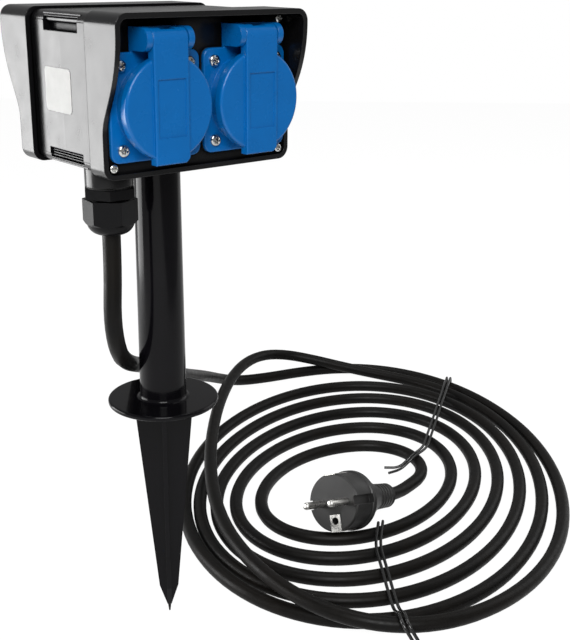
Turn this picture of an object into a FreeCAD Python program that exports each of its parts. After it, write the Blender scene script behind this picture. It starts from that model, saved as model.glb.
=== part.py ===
"""Garden socket spike: a four-way rainproof outlet box on a ground spike, with its rubber supply lead.

Millimetres, +Z up. The origin is the tip of the spike, where it meets the ground.
The front faces -Y, and the rear sockets are the front ones turned half round.
"""
import FreeCAD
import Part
import math
import os

V = FreeCAD.Vector

# Spike
housing_bottom = 272.0
pole_top_radius = 12.1
pole_base_radius = 12.85
pole_bore_radius = 9.3
disc_top = 139.0
disc_thickness = 3.0
disc_radius = 30.5
pole_fillet = 2.2
fin_width_top = 33.0
fin_width_low = 11.0
fin_low_height = 18.0
fin_thickness = 2.4
fin_turn = -33.0
needle_height = 5.0
needle_radius = 1.2
needle_tip_radius = 0.45
pole_sleeve_wall = 3.1
pole_insert = 7.5
roof_over_pole = 2.0

# Central body of the box
body_side_step = 3.5
body_half_depth = 27.8
body_inset = 1.2
body_corner = 4.5
body_wall = 2.5
body_floor = 3.0
side_crease = 0.6
notch_length = 32.0
notch_depth = 3.2
notch_wall = 1.8
top_notch_height = 6.6
top_notch_drop = 2.6
bottom_notch_height = 5.1
bottom_notch_rise = 4.0
notch_rib = 0.5
notch_ribs = 3
grip_pitch = 2.8
grip_width = 1.4
grip_depth = 0.9
grip_height = 2.2
grips = 12

# Hood frames, front and rear
hood_height = 75.5
hood_wall = 2.5
hood_corner = 6.0
hood_depth_top = 54.6
hood_depth_foot = 40.2
hood_sweep_radius = 61.5
hood_foot_radius = 20.0
hood_sweep_angle = 27.0
hood_straight_drop = 7.5
plate_front = 38.3
plate_thickness = 3.0
frame_seal_thickness = 1.5
frame_screw_inset = 5.8
frame_screw_rise = 5.4
frame_screw_radius = 1.2
post_radius = 2.8
post_length = 14.0

# Sockets
flange_gap = 2.5
flange_margin = 1.25
socket_height = 32.75
flange_size = 50.0
flange_corner = 4.5
flange_thickness = 2.0
gasket_thickness = 1.0
flange_screw_spacing = 38.0
well_radius = 19.5
well_depth = 17.5
collar_ring_wall = 2.0
collar_ring_height = 7.0
barrel_wall = 1.6
carrier_bore_step = 1.1
barrel_back = 12.0
carrier_thickness = 8.0
pin_spacing = 19.0
sleeve_radius = 3.2
sleeve_bore = 2.5
sleeve_back = 13.0
tail_radius = 1.5
clip_width = 4.8
clip_thickness = 0.8
clip_offset = 18.0
clip_inset = 1.5
clip_nose_radius = 1.2
bar_thickness = 1.0
bar_height = 6.0
bar_offset = 6.0
bar_end = 7.25
tab_width = 6.0
tab_overlap = 3.0
earth_bar_drop = 16.5
earth_bar_height = 4.5
earth_bar_end = 9.75

# Lids and hinges
lid_radius = 24.0
lid_thickness = 4.7
lid_skin = 2.4
lid_edge = 1.4
band_width = 19.0
band_rise = 1.7
band_thickness = 4.8
tab_below_flange = 0.4
tab_chamfer = 2.6
field_width = 15.4
field_height = 26.4
field_bottom = 19.7
field_depth = 0.6
hinge_height = 63.7
knuckle_radius = 5.0
ear_radius = 5.3
ear_thickness = 3.0
ear_skin = 0.8
edge_round = 0.7
pin_radius = 1.3
spring_wire_radius = 0.35
spring_radius = 2.2
spring_turns = 3
spring_pitch = 1.2
spring_leg = 0.9
spring_slot = 8.0
seal_radius = 20.6
seal_width = 1.0
seal_depth = 1.5

# Screws
screw_radius = 1.4
screw_head_radius = 2.9
screw_head_height = 1.8
small_head_radius = 2.3
flange_screw_length = 10.0
frame_screw_length = 14.0

# Cable gland
gland_x = -38.0
gland_y = -15.5
boss_radius = 11.8
boss_depth = 8.2
thread_radius = 9.9
washer_thickness = 0.8
hex_flats = 23.6
hex_height = 4.9
hex_turn = 0.0
nut_turn = 22.0
neck_gap = 1.0
neck_radius = 9.4
neck_length = 10.0
neck_bore = 7.6
nut_dome_radius = 11.7
nut_chamfer = 1.6
nut_straight = 12.3
nut_dome = 5.0
nut_mouth_radius = 7.2
grip_seal_radius = 7.3

# Supply cable
cord_radius = 4.6
core_radius = 1.05
core_spacing = 2.4
floor_gap = 0.1
coil_turns = 6.406
coil_steady_turns = 6.0
coil_ease = 1.232
coil_last_turns = 0.74
last_bend_radius = 38.0
last_bend_to_plug = 38.5
coil_start_angle = 68.0
crossing_turn = 0.728
crossing_half_width = 0.27
crossing_rise_half_width = 0.443
crossing_shift_x = 21.47
crossing_shift_y = -14.26
crossing_rise = 14.42
loop_turn = 0.894
loop_half_width = 0.185
loop_rise_half_width = 0.2136
loop_shift_x = 46.33
loop_shift_y = 39.93
loop_rise = 12.77

# Plug
plug_face = V(127.2, -5.2, 30.6)
plug_heading = 191.65
plug_tilt = 18.0
plug_roll = 113.0
plug_radius = 19.2
plug_front_length = 18.5
plug_rim_radius = 20.1
plug_rim_length = 4.5
plug_cone_length = 24.0
relief_start_radius = 9.2
relief_end_radius = 8.6
relief_length = 20.0
relief_rings = 5
relief_ring_width = 2.2
relief_groove_depth = 1.3
key_width = 6.0
key_depth = 3.0
plug_pin_radius = 2.4
plug_pin_length = 19.0
plug_pin_root = 7.5
plug_pin_root_radius = 2.0
plug_pin_tip = 1.6
strip_width = 8.0
strip_thickness = 0.8
earth_hole_radius = 2.4
earth_hole_depth = 13.0

# Wire ties on the coil
tie_radius = 1.0
tie_pair_gap = 3.2
tie_over = 6.4
tie_beside = 7.2
tie_slope = 0.36
tie_wave = 0.7
tie_tail = 30.0
back_tie_angle = 34.8
back_tie_root_angle = -24.5
front_tie_centre = V(171.6, 10.3, 0.0)
front_tie_angle = 233.8
front_tie_root = V(172.0, -4.0, 0.0)
front_tie_root_angle = 229.0

# Clearances
slip = 0.2
gap = 0.3

# Places that follow from the sizes
socket_pitch = flange_size + flange_gap
hood_width = socket_pitch + flange_size + 2 * (flange_margin + hood_wall)
body_width = hood_width - 2 * body_side_step
bar_half_length = socket_pitch / 2 + pin_spacing / 2 + bar_end
earth_bar_half_length = socket_pitch / 2 + earth_bar_end
plate_back = plate_front - plate_thickness
flange_back = plate_front + gasket_thickness
flange_front = flange_back + flange_thickness
well_mouth = flange_front + collar_ring_height
well_floor = well_mouth - well_depth
lid_back = well_mouth + gap
lid_front = lid_back + lid_thickness
band_front = lid_front + band_rise
hinge_y = -(band_front - knuckle_radius)
hinge_z = housing_bottom + hinge_height
socket_z = housing_bottom + socket_height
hood_top = housing_bottom + hood_height
body_bottom = housing_bottom + body_inset
body_top = hood_top - body_inset
barrel_radius = well_radius + carrier_bore_step + barrel_wall
carrier_bore = well_radius + carrier_bore_step
spring_bore = spring_radius + spring_wire_radius + 0.85
pole_sleeve_radius = pole_top_radius + gap + pole_sleeve_wall
pole_top = housing_bottom + pole_insert
boss_bottom = body_bottom - boss_depth
hex_top = boss_bottom - washer_thickness
hex_bottom = hex_top - hex_height
nut_top = hex_bottom - neck_gap
nut_bottom = nut_top - nut_straight - nut_dome
coil_height = cord_radius + floor_gap

SIDES = (("front", 0.0), ("rear", 180.0))
HANDS = (("left", -1.0), ("right", 1.0))


def box(x0, x1, y0, y1, z0, z1):
    return Part.makeBox(x1 - x0, y1 - y0, z1 - z0, V(x0, y0, z0))


def rod_y(x, z, radius, y0, y1):
    return Part.makeCylinder(radius, y1 - y0, V(x, y0, z), V(0, 1, 0))


def rod_x(y, z, radius, x0, x1):
    return Part.makeCylinder(radius, x1 - x0, V(x0, y, z), V(1, 0, 0))


def rod_z(x, y, radius, z0, z1):
    return Part.makeCylinder(radius, z1 - z0, V(x, y, z0), V(0, 0, 1))


def solid_of(shape):
    """The one solid that a boolean operation left."""
    return shape.removeSplitter().Solids[0]


def turned(shape, angle):
    """A copy turned about the spike's own axis, for the rear side."""
    copy = shape.copy()
    copy.rotate(V(0, 0, 0), V(0, 0, 1), angle)
    return copy


def rounded_block(x0, x1, z0, z1, radius, y0, y1):
    """A block that runs along Y, with its four long edges rounded."""
    block = box(x0, x1, y0, y1, z0, z1)
    edges = [e for e in block.Edges if abs(e.Vertexes[0].Point.y - e.Vertexes[-1].Point.y) > 0.5 * (y1 - y0)]
    return block.makeFillet(radius, edges)


def prism(points, direction):
    wire = Part.makePolygon(points + [points[0]])
    return Part.Face(wire).extrude(direction)


def export(name, shape):
    shape.exportStep("parts/" + name + ".step")


def group(solids):
    return Part.makeCompound(solids)


# Spike

def make_spike():
    """Hollow pole, ground disc, crossed fins and needle point in one moulding."""
    disc_bottom = disc_top - disc_thickness
    edge = 0.4 * disc_thickness
    corner = edge * (1 - math.sqrt(0.5))
    foot = pole_base_radius + pole_fillet
    bend = pole_fillet * (1 - math.sqrt(0.5))
    arc_edge = Part.Arc(V(disc_radius - edge, 0, disc_bottom),
                        V(disc_radius - corner, 0, disc_bottom + corner),
                        V(disc_radius, 0, disc_bottom + edge))
    arc_top = Part.Arc(V(disc_radius, 0, disc_top - edge), V(disc_radius - corner, 0, disc_top - corner),
                       V(disc_radius - edge, 0, disc_top))
    arc_foot = Part.Arc(V(foot, 0, disc_top), V(pole_base_radius + bend, 0, disc_top + bend),
                        V(pole_base_radius, 0, disc_top + pole_fillet))
    bore_bottom = disc_top + disc_thickness
    lines = [
        (V(0, 0, disc_bottom), V(disc_radius - edge, 0, disc_bottom)),
        (V(disc_radius, 0, disc_bottom + edge), V(disc_radius, 0, disc_top - edge)),
        (V(disc_radius - edge, 0, disc_top), V(foot, 0, disc_top)),
        (V(pole_base_radius, 0, disc_top + pole_fillet), V(pole_top_radius, 0, pole_top)),
        (V(pole_top_radius, 0, pole_top), V(pole_bore_radius, 0, pole_top)),
        (V(pole_bore_radius, 0, pole_top), V(pole_bore_radius, 0, bore_bottom)),
        (V(pole_bore_radius, 0, bore_bottom), V(0, 0, bore_bottom)),
        (V(0, 0, bore_bottom), V(0, 0, disc_bottom)),
    ]
    edges = [Part.LineSegment(a, b).toShape() for a, b in lines]
    edges += [arc_edge.toShape(), arc_top.toShape(), arc_foot.toShape()]
    wire = Part.Wire(Part.__sortEdges__(edges))
    pole = Part.Face(wire).revolve(V(0, 0, 0), V(0, 0, 1), 360)
    top = fin_width_top / 2
    low = fin_width_low / 2
    outline = [V(-top, -fin_thickness / 2, disc_bottom + 0.5), V(top, -fin_thickness / 2, disc_bottom + 0.5),
               V(low, -fin_thickness / 2, fin_low_height),
               V(needle_radius, -fin_thickness / 2, needle_height),
               V(-needle_radius, -fin_thickness / 2, needle_height),
               V(-low, -fin_thickness / 2, fin_low_height)]
    fin = prism(outline, V(0, fin_thickness, 0))
    needle = Part.makeCone(needle_tip_radius, needle_radius, needle_height + 1.0)
    spike = pole.fuse([turned(fin, fin_turn), turned(fin, fin_turn + 90), needle])
    return solid_of(spike)


# Box

def cavity_block(inset, y0, y1):
    """The room inside a hood frame, narrowed by an inset all round."""
    half = hood_width / 2 - hood_wall - inset
    return rounded_block(-half, half, housing_bottom + hood_wall + inset, hood_top - hood_wall - inset,
                         hood_corner - hood_wall, y0, y1)


def frame_screw_places():
    x = hood_width / 2 - frame_screw_inset
    for sx in (-1, 1):
        for z in (housing_bottom + frame_screw_rise, hood_top - frame_screw_rise):
            yield sx * x, z


def flange_screw_places(cx):
    half = flange_screw_spacing / 2
    for sx in (-1, 1):
        for sz in (-1, 1):
            yield cx + sx * half, socket_z + sz * half


def side_notches(sign):
    """Cuts and ribs of the snap windows in one side wall."""
    outer = sign * (body_width / 2 + side_crease + 1)
    inner = sign * (body_width / 2 - notch_depth)
    x0, x1 = min(outer, inner), max(outer, inner)
    half = notch_length / 2
    top = box(x0, x1, -half, half, body_top - top_notch_drop - top_notch_height, body_top - top_notch_drop)
    low = body_bottom + bottom_notch_rise - body_inset
    bottom = box(x0, x1, -half, half, low, low + bottom_notch_height)
    rib_x0, rib_x1 = sorted((sign * (body_width / 2 - 0.7), inner))
    ribs = []
    step = bottom_notch_height / (notch_ribs + 1)
    for i in range(notch_ribs):
        z = low + step * (i + 1)
        ribs.append(box(rib_x0, rib_x1, -half, half, z - notch_rib / 2, z + notch_rib / 2))
    snap_z = body_top - top_notch_drop - 1.3
    ribs.append(rod_y(sign * (body_width / 2 - notch_depth + 0.6), snap_z, 1.6, -half, half))
    grooves = []
    for i in range(grips):
        y = (i - (grips - 1) / 2) * grip_pitch
        gx0, gx1 = sorted((outer, sign * (body_width / 2 - grip_depth)))
        grooves.append(box(gx0, gx1, y - grip_width / 2, y + grip_width / 2, body_bottom - 1,
                           body_bottom + grip_height))
    return [top, bottom] + grooves, ribs


def notch_pads(sign):
    """Thicker wall behind the snap windows, so that they stay closed inwards."""
    inner = sign * (body_width / 2 - notch_depth - notch_wall)
    x0, x1 = sorted((inner, sign * (body_width / 2 - 1)))
    half = notch_length / 2 + notch_wall
    top_z = body_top - top_notch_drop - top_notch_height - notch_wall
    low_z = body_bottom + bottom_notch_rise - body_inset + bottom_notch_height + notch_wall
    return [box(x0, x1, -half, half, top_z, body_top - 1), box(x0, x1, -half, half, body_bottom + 1, low_z)]


def make_main_housing():
    half = body_width / 2
    tongue_end = plate_back - frame_seal_thickness
    body = rounded_block(-half, half, body_bottom, body_top, body_corner, -body_half_depth, body_half_depth)
    tongue_low = housing_bottom + hood_wall + gap
    tongue_high = hood_top - hood_wall - gap
    tongue = rounded_block(-half, half, tongue_low, tongue_high, hood_corner - hood_wall, -tongue_end,
                           tongue_end)
    creases = []
    for sign in (-1, 1):
        z0 = body_bottom + body_corner
        triangle = [V(sign * (half - 1), -body_half_depth, z0), V(sign * half, -body_half_depth, z0),
                    V(sign * (half + side_crease), 0, z0), V(sign * half, body_half_depth, z0),
                    V(sign * (half - 1), body_half_depth, z0)]
        creases.append(prism(triangle, V(0, 0, body_top - body_corner - z0)))
    body = body.fuse([tongue] + creases)
    room = half - body_wall
    inside = box(-room, room, -tongue_end - 1, tongue_end + 1, body_bottom + body_floor,
                 body_top - body_floor)
    body = body.cut(inside)
    posts = []
    drills = []
    for x, z in frame_screw_places():
        for sign in (-1, 1):
            y0, y1 = sorted((sign * (tongue_end - post_length), sign * tongue_end))
            posts.append(rod_y(x, z, post_radius, y0, y1).common(tongue))
            y0, y1 = sorted((sign * (tongue_end - post_length + 2), sign * (tongue_end + 1)))
            drills.append(rod_y(x, z, frame_screw_radius + slip, y0, y1))
    pads = notch_pads(-1) + notch_pads(1)
    pole_sleeve = rod_z(0, 0, pole_sleeve_radius, body_bottom, pole_top + roof_over_pole)
    boss = rod_z(gland_x, gland_y, boss_radius, boss_bottom, body_bottom + body_floor)
    body = body.fuse(posts + pads + [pole_sleeve, boss])
    drills.append(rod_z(0, 0, pole_top_radius + gap, body_bottom - 1, pole_top))
    drills.append(rod_z(gland_x, gland_y, thread_radius + slip, boss_bottom - 1,
                        body_bottom + body_floor + 1))
    ribs = []
    for sign in (-1, 1):
        cuts, more = side_notches(sign)
        drills += cuts
        ribs += more
    body = body.cut(drills)
    body = body.fuse(ribs)
    return solid_of(body)


def hood_profile():
    """Side outline of a hood: deep roof, swept-back cheeks and a shallow foot."""
    angle = math.radians(hood_sweep_angle)
    top_y = -hood_depth_top
    foot_y = -hood_depth_foot
    top_z = hood_top - hood_straight_drop
    turn_in = 1 - math.cos(angle)
    rise = math.sin(angle)
    run_y = hood_depth_top - hood_depth_foot - (hood_sweep_radius + hood_foot_radius) * turn_in
    run_z = run_y / math.tan(angle)
    low_y = top_y + hood_sweep_radius * turn_in
    low_z = top_z - hood_sweep_radius * rise
    bend_y = foot_y - hood_foot_radius * turn_in
    bend_z = low_z - run_z
    foot_z = bend_z - hood_foot_radius * rise
    half = angle / 2
    mid_top = V(0, top_y + hood_sweep_radius * (1 - math.cos(half)),
                top_z - hood_sweep_radius * math.sin(half))
    mid_foot = V(0, foot_y - hood_foot_radius * (1 - math.cos(half)),
                 foot_z + hood_foot_radius * math.sin(half))
    z0 = housing_bottom - 1
    z1 = hood_top + 1
    edges = [
        Part.LineSegment(V(0, -body_half_depth, z0), V(0, foot_y, z0)),
        Part.LineSegment(V(0, foot_y, z0), V(0, foot_y, foot_z)),
        Part.Arc(V(0, foot_y, foot_z), mid_foot, V(0, bend_y, bend_z)),
        Part.LineSegment(V(0, bend_y, bend_z), V(0, low_y, low_z)),
        Part.Arc(V(0, low_y, low_z), mid_top, V(0, top_y, top_z)),
        Part.LineSegment(V(0, top_y, top_z), V(0, top_y, z1)),
        Part.LineSegment(V(0, top_y, z1), V(0, -body_half_depth, z1)),
        Part.LineSegment(V(0, -body_half_depth, z1), V(0, -body_half_depth, z0)),
    ]
    wire = Part.Wire([e.toShape() for e in edges])
    face = Part.Face(wire)
    face.translate(V(-hood_width / 2 - 1, 0, 0))
    return face.extrude(V(hood_width + 2, 0, 0))


def make_hood_frame():
    half = hood_width / 2
    outer = rounded_block(-half, half, housing_bottom, hood_top, hood_corner, -hood_depth_top - 1,
                          -body_half_depth)
    frame = outer.common(hood_profile())
    cuts = [cavity_block(0, -hood_depth_top - 2, -plate_front),
            cavity_block(0, -plate_back, -body_half_depth + 1)]
    for _, sign in HANDS:
        cx = sign * socket_pitch / 2
        cuts.append(rod_y(cx, socket_z, barrel_radius + gap, -plate_front - 1, -plate_back + 1))
        for x, z in flange_screw_places(cx):
            cuts.append(rod_y(x, z, screw_radius + slip, -plate_front - 1, -plate_back + 1))
    for x, z in frame_screw_places():
        cuts.append(rod_y(x, z, frame_screw_radius + slip, -plate_front - 1, -plate_back + 1))
    return solid_of(frame.cut(cuts))


def make_frame_seal():
    """Rubber ring between the end of the housing's tongue and the back of the face plate."""
    y0 = -plate_back
    y1 = -(plate_back - frame_seal_thickness)
    outer = cavity_block(gap, y0, y1)
    half = body_width / 2 - body_wall
    inner = box(-half, half, y0 - 1, y1 + 1, body_bottom + body_floor, body_top - body_floor)
    side = body_width / 2
    trim = box(-side, side, y0 - 1, y1 + 1, housing_bottom, hood_top)
    holes = [rod_y(x, z, frame_screw_radius + slip, y0 - 1, y1 + 1) for x, z in frame_screw_places()]
    return solid_of(outer.common(trim).cut([inner] + holes))


# Screws

def pan_screw(x, z, seat, length, radius, head_radius):
    """A pan-head screw driven along +Y, with its head's flat at y = -seat."""
    shank = rod_y(x, z, radius, -seat, -seat + length)
    rim = head_radius - 0.6
    top = -seat - screw_head_height
    edges = [
        Part.LineSegment(V(0, -seat, 0), V(head_radius, -seat, 0)),
        Part.Arc(V(head_radius, -seat, 0), V(head_radius - 0.25, top + 0.75, 0), V(rim, top, 0)),
        Part.LineSegment(V(rim, top, 0), V(0, top, 0)),
        Part.LineSegment(V(0, top, 0), V(0, -seat, 0)),
    ]
    head = Part.Face(Part.Wire([e.toShape() for e in edges])).revolve(V(0, 0, 0), V(0, 1, 0), 360)
    head.translate(V(x, 0, z))
    return solid_of(head.fuse(shank))


def make_flange_screws():
    places = []
    for _, sign in HANDS:
        places += list(flange_screw_places(sign * socket_pitch / 2))
    size = (flange_screw_length, screw_radius, screw_head_radius)
    return [pan_screw(x, z, flange_front, *size) for x, z in places]


def make_frame_screws():
    screws = []
    for x, z in frame_screw_places():
        screws.append(pan_screw(x, z, plate_front, frame_screw_length, frame_screw_radius,
                                small_head_radius))
    return screws


# Sockets

def flange_block(cx, y0, y1):
    half = flange_size / 2
    return rounded_block(cx - half, cx + half, socket_z - half, socket_z + half, flange_corner, y0, y1)


def rounded_front(block, radius):
    """Rounds the edges round the face that looks to the front."""
    front = block.BoundBox.YMin
    edges = [e for e in block.Edges if e.BoundBox.YMax < front + 0.01]
    return block.makeFillet(radius, edges)


def make_socket_body(cx):
    """Flange, splash collar, barrel and the two hinge ears."""
    flange = rounded_front(flange_block(cx, -flange_front, -flange_back), edge_round)
    ring = rod_y(cx, socket_z, well_radius + collar_ring_wall, -well_mouth, -flange_back)
    barrel = rod_y(cx, socket_z, barrel_radius, -flange_back - 0.5, -barrel_back)
    ear_inner = band_width / 2 + gap
    ear_outer = ear_inner + ear_thickness
    low = hinge_z - ear_radius
    high = hinge_z + ear_radius
    block_front = hinge_y + knuckle_radius + 2 * gap
    block = box(cx - ear_outer, cx + ear_outer, block_front, -flange_back, low, high)
    root = box(cx - ear_outer, cx + ear_outer, -flange_front, -flange_back,
               socket_z + flange_size / 2 - 2, high)
    pieces = [ring, barrel, block, root]
    for sign in (-1, 1):
        x0, x1 = sorted((cx + sign * ear_inner, cx + sign * ear_outer))
        pieces.append(box(x0, x1, hinge_y, -flange_back, low, high))
        pieces.append(rod_x(hinge_y, hinge_z, ear_radius, x0, x1))
    body = flange.fuse(pieces)
    cuts = [
        rod_y(cx, socket_z, well_radius, -well_mouth - 1, -well_floor + 0.01),
        rod_y(cx, socket_z, carrier_bore, -well_floor, -barrel_back + 1),
        rod_x(hinge_y, hinge_z, pin_radius + slip, cx - ear_outer + ear_skin, cx + ear_outer - ear_skin),
    ]
    for x, z in flange_screw_places(cx):
        cuts.append(rod_y(x, z, screw_radius + slip, -flange_front - 1, -flange_back + 1))
    return solid_of(body.cut(cuts))


def make_flange_gasket(cx):
    gasket = flange_block(cx, -flange_back, -plate_front)
    cuts = [rod_y(cx, socket_z, barrel_radius + gap, -flange_back - 1, -plate_front + 1)]
    for x, z in flange_screw_places(cx):
        cuts.append(rod_y(x, z, screw_radius + slip, -flange_back - 1, -plate_front + 1))
    return solid_of(gasket.cut(cuts))


def make_contact_carrier(cx):
    """Insulating disc at the bottom of the well, with pin holes and slots for the earth clip."""
    y0 = -well_floor
    y1 = y0 + carrier_thickness
    disc = rod_y(cx, socket_z, carrier_bore - gap, y0, y1)
    cuts = []
    for sign in (-1, 1):
        cuts.append(rod_y(cx + sign * pin_spacing / 2, socket_z, sleeve_radius + gap, y0 - 1, y1 + 1))
        z0, z1 = sorted((socket_z + sign * (clip_offset - gap),
                         socket_z + sign * (clip_offset + clip_thickness + gap)))
        cuts.append(box(cx - clip_width / 2 - gap, cx + clip_width / 2 + gap, y0 - 1, y1 + 1, z0, z1))
    return solid_of(disc.cut(cuts))


def make_pin_contact(x):
    """Brass sleeve for one plug pin, with a tail that meets the mid-plane bars."""
    front = -well_floor + 0.5
    sleeve = rod_y(x, socket_z, sleeve_radius, front, -sleeve_back)
    bore = rod_y(x, socket_z, sleeve_bore, front - 1, -sleeve_back - 2)
    tail = rod_y(x, socket_z, tail_radius, -sleeve_back - 0.5, -(bar_thickness / 2 + gap))
    return solid_of(sleeve.cut(bore).fuse(tail))


def make_earth_contact(cx):
    """U-shaped earth clip: two arms that stand in the well and one tail to the earth bar."""
    tip = -(well_mouth - clip_inset)
    bend_y0 = -well_floor + carrier_thickness + gap
    bend_y1 = bend_y0 + clip_thickness
    x0 = cx - clip_width / 2
    x1 = cx + clip_width / 2
    reach = clip_offset + clip_thickness
    clip = box(x0, x1, bend_y0, bend_y1, socket_z - reach, socket_z + reach)
    pieces = []
    for sign in (-1, 1):
        z0, z1 = sorted((socket_z + sign * clip_offset, socket_z + sign * reach))
        pieces.append(box(x0, x1, tip, bend_y1, z0, z1))
        pieces.append(rod_x(tip + 4, socket_z + sign * (clip_offset + 0.4), clip_nose_radius, x0, x1))
    clip = clip.fuse(pieces)
    keep = rod_y(cx, socket_z, well_radius - gap, tip - 5, bend_y1 + 1)
    clip = clip.common(keep)
    tail = box(x0, x1, bend_y0, -(bar_thickness / 2 + gap), socket_z - reach, socket_z - clip_offset)
    return solid_of(clip.fuse(tail))


def contact_columns():
    """X places of the live and of the neutral contacts, the same for front and rear."""
    outer = socket_pitch / 2 + pin_spacing / 2
    inner = socket_pitch / 2 - pin_spacing / 2
    return (-outer, inner), (-inner, outer)


def make_busbar(columns, sign):
    """One of the two brass bars in the mid-plane that join the pin contacts of all four sockets."""
    y = bar_thickness / 2
    z0, z1 = sorted((socket_z + sign * bar_offset, socket_z + sign * (bar_offset + bar_height)))
    bar = box(-bar_half_length, bar_half_length, -y, y, z0, z1)
    tabs = []
    for x in columns:
        t0, t1 = sorted((socket_z - sign * tab_overlap, socket_z + sign * (bar_offset + 1)))
        tabs.append(box(x - tab_width / 2, x + tab_width / 2, -y, y, t0, t1))
    return solid_of(bar.fuse(tabs))


def make_earth_bar():
    y = bar_thickness / 2
    top = socket_z - earth_bar_drop
    return box(-earth_bar_half_length, earth_bar_half_length, -y, y, top - earth_bar_height, top)


# Lids

def make_lid(cx):
    """Round cap with a raised band that runs from the hinge knuckle to the finger tab."""
    disc = rounded_front(rod_y(cx, socket_z, lid_radius, -lid_front, -lid_back), lid_edge)
    half = band_width / 2
    tab_bottom = socket_z - flange_size / 2 - tab_below_flange
    band = box(cx - half, cx + half, -band_front, -band_front + band_thickness, tab_bottom, hinge_z)
    front_edges = [e for e in band.Edges
                   if e.BoundBox.YMax < -band_front + 0.01 and e.BoundBox.ZMin < socket_z]
    band = band.makeFillet(edge_round, front_edges)
    knuckle = rod_x(hinge_y, hinge_z, knuckle_radius, cx - half, cx + half)
    knuckle = knuckle.makeFillet(edge_round, [e for e in knuckle.Edges if e.BoundBox.XLength < 0.01])
    lid = disc.fuse([band, knuckle])
    slot = spring_slot / 2
    cuts = [
        rod_x(hinge_y, hinge_z, pin_radius + gap, cx - half - 1, cx + half + 1),
        rod_x(hinge_y, hinge_z, spring_bore, cx - slot, cx + slot),
        box(cx - slot, cx + slot, hinge_y, hinge_y + knuckle_radius + 1,
            hinge_z - knuckle_radius - 0.5, hinge_z + knuckle_radius + 1),
        box(cx - slot, cx + slot, hinge_y - knuckle_radius / 2, hinge_y + 1, hinge_z,
            hinge_z + knuckle_radius + 1),
        rod_y(cx, socket_z, seal_radius - seal_width / 2 - 1.2, -lid_front + lid_skin, -lid_back + 1),
    ]
    groove = rod_y(cx, socket_z, seal_radius + seal_width / 2 + gap, -lid_back - seal_depth, -lid_back + 1)
    groove = groove.cut(rod_y(cx, socket_z, seal_radius - seal_width / 2 - gap,
                              -lid_back - seal_depth - 1, -lid_back + 2))
    cuts.append(groove)
    field_z = housing_bottom + field_bottom
    cuts.append(box(cx - field_width / 2, cx + field_width / 2, -band_front - 1, -band_front + field_depth,
                    field_z, field_z + field_height))
    corner = [V(cx + half + 1, -band_front - 1, tab_bottom - 1),
              V(cx + half + 1, -band_front - 1, tab_bottom + tab_chamfer),
              V(cx + half, -band_front - 1, tab_bottom + tab_chamfer),
              V(cx + half - tab_chamfer, -band_front - 1, tab_bottom),
              V(cx + half - tab_chamfer, -band_front - 1, tab_bottom - 1)]
    cuts.append(prism(corner, V(0, band_thickness + 2, 0)))
    return solid_of(lid.cut(cuts))


def make_lid_seal(cx):
    ring = rod_y(cx, socket_z, seal_radius + seal_width / 2, -lid_back - seal_depth, -lid_back)
    hole = rod_y(cx, socket_z, seal_radius - seal_width / 2, -lid_back - seal_depth - 1, -lid_back + 1)
    return solid_of(ring.cut(hole))


def make_hinge_pin(cx):
    """Pin held between the closed outer ends of the two ears."""
    half = band_width / 2 + gap + ear_thickness - ear_skin
    return rod_x(hinge_y, hinge_z, pin_radius, cx - half, cx + half)


# Tubes

def biarc(p0, t0, p1, t1):
    """Two tangent arcs from p0 to p1 with the given directions."""
    chord = p1 - p0
    both = t0 + t1
    across = 2 * (1 - t0.dot(t1))
    along = chord.dot(both)
    if across < 1e-9:
        d = chord.dot(chord) / (4 * max(chord.dot(t0), 1e-9))
    else:
        d = (-along + math.sqrt(along * along + across * chord.dot(chord))) / across
    middle = (p0 + p1 + (t0 - t1) * d) * 0.5
    return [arc_or_line(p0, t0, middle, d), arc_or_line(p1, t1 * -1, middle, d, True)]


def arc_or_line(start, direction, end, reach, reverse=False):
    chord = end - start
    cosine = min(1.0, chord.dot(direction) / chord.Length)
    if cosine > 1 - 1e-9:
        pair = (end, start) if reverse else (start, end)
        return Part.LineSegment(*pair).toShape()
    corner = start + direction * reach
    middle = (start + corner * (2 * cosine) + end) * (1 / (2 + 2 * cosine))
    if reverse:
        return Part.Arc(end, middle, start).toShape()
    return Part.Arc(start, middle, end).toShape()


def pipe(edges, radius):
    """A round tube along a chain of tangent edges."""
    path = Part.Wire(edges)
    first = edges[0]
    start = first.valueAt(first.FirstParameter)
    direction = first.tangentAt(first.FirstParameter)
    ring = Part.Wire(Part.Circle(start, direction, radius).toShape())
    shell = Part.BRepOffsetAPI.MakePipeShell(path)
    shell.add(ring)
    shell.build()
    shell.makeSolid()
    tube = shell.shape()
    solid = tube.Solids[0]
    ideal = math.pi * radius * radius * path.Length
    print("tube length %.1f volume over section times length %.4f" % (path.Length, solid.Volume / ideal))
    return solid


def cord_edges(points, name):
    """Straight runs joined by tangent arcs, each as large as its two runs allow."""
    edges = []
    at = points[0]
    radii = []
    for i in range(1, len(points) - 1):
        before = points[i] - points[i - 1]
        after = points[i + 1] - points[i]
        short = min(before.Length, after.Length)
        a = before * (1 / before.Length)
        b = after * (1 / after.Length)
        turn = math.acos(max(-1.0, min(1.0, a.dot(b))))
        back = 0.45 * short
        radii.append(back / math.tan(turn / 2))
        start = points[i] - a * back
        end = points[i] + b * back
        bulge = points[i] + (b - a) * (1 / (b - a).Length) * (radii[-1] / math.cos(turn / 2) - radii[-1])
        edges.append(Part.LineSegment(at, start).toShape())
        edges.append(Part.Arc(start, bulge, end).toShape())
        at = end
    edges.append(Part.LineSegment(at, points[-1]).toShape())
    print(name, "bend radii", [round(r, 1) for r in radii])
    return edges


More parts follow.
